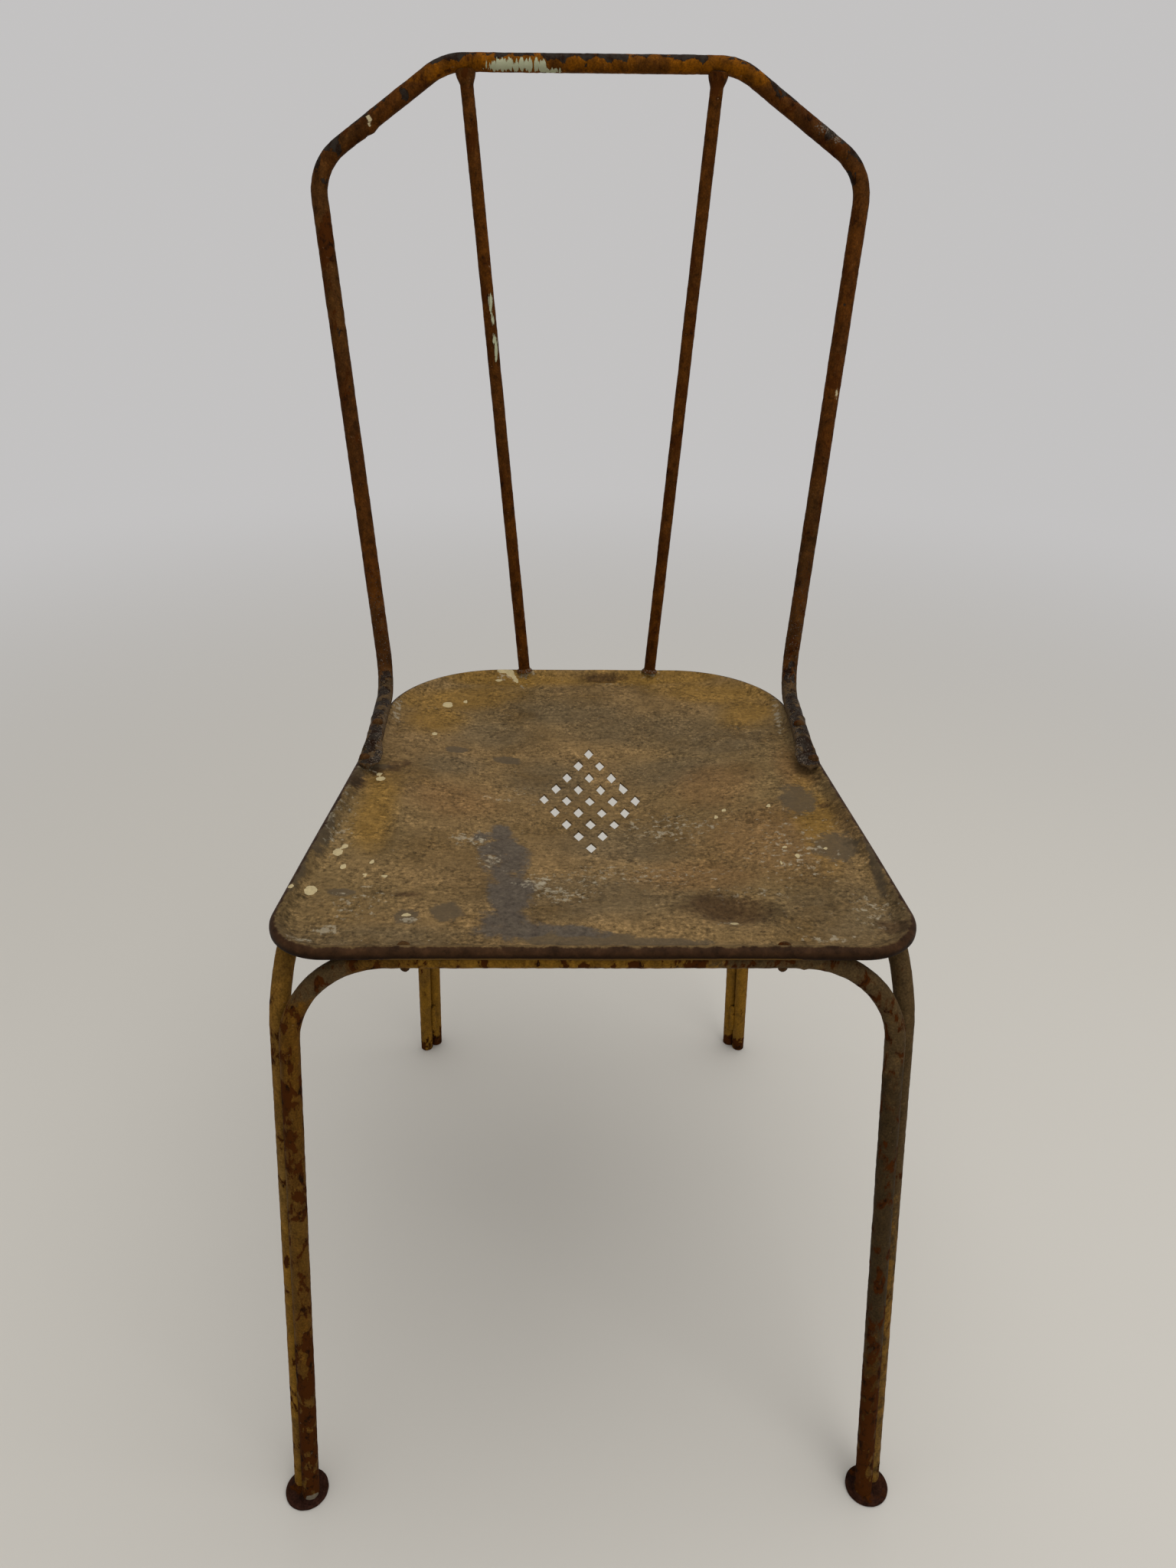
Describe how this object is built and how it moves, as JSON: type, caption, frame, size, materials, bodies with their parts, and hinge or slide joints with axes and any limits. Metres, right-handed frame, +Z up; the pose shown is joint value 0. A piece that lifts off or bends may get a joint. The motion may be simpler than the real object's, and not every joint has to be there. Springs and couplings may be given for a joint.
{
  "type": "garden chair",
  "caption": "Worn steel garden chair with a dished, pierced sheet seat on bent-tube leg hoops and an open hoop back with rods.",
  "frame": {"origin": "on the floor at the middle of the plan box of the whole chair", "axes": "+Z up along the back's height, +X towards the right side of someone facing the chair's front, the chair's front faces -Y"},
  "size_m": [0.4296, 0.5018, 0.9055],
  "materials": {
    "seat_paint": "worn satin paint",
    "frame_paint": "chipped satin paint with rust",
    "rusted_steel": "matt dark rust",
    "weld_metal": "rough weld under paint",
    "rivet_steel": "worn paint over steel"
  },
  "bodies": {
    "root": {"seat_pan": "seat_paint", "front_leg_hoop": "frame_paint", "rear_leg_hoop": "frame_paint", "left_leg_hoop": "frame_paint", "right_leg_hoop": "frame_paint", "back_hoop": "frame_paint", "left_back_rod": "frame_paint", "right_back_rod": "frame_paint", "left_foot_disc": "rusted_steel", "right_foot_disc": "rusted_steel", "left_foot_weld": "weld_metal", "right_foot_weld": "weld_metal", "left_front_leg_welds": "weld_metal", "right_front_leg_welds": "weld_metal", "left_rear_leg_welds": "weld_metal", "right_rear_leg_welds": "weld_metal", "rod_top_welds": "weld_metal", "rod_foot_welds": "weld_metal", "front_rivets": "rivet_steel", "side_rivets": "rivet_steel", "back_hoop_rivets": "rivet_steel"}
  },
  "joints": []
}
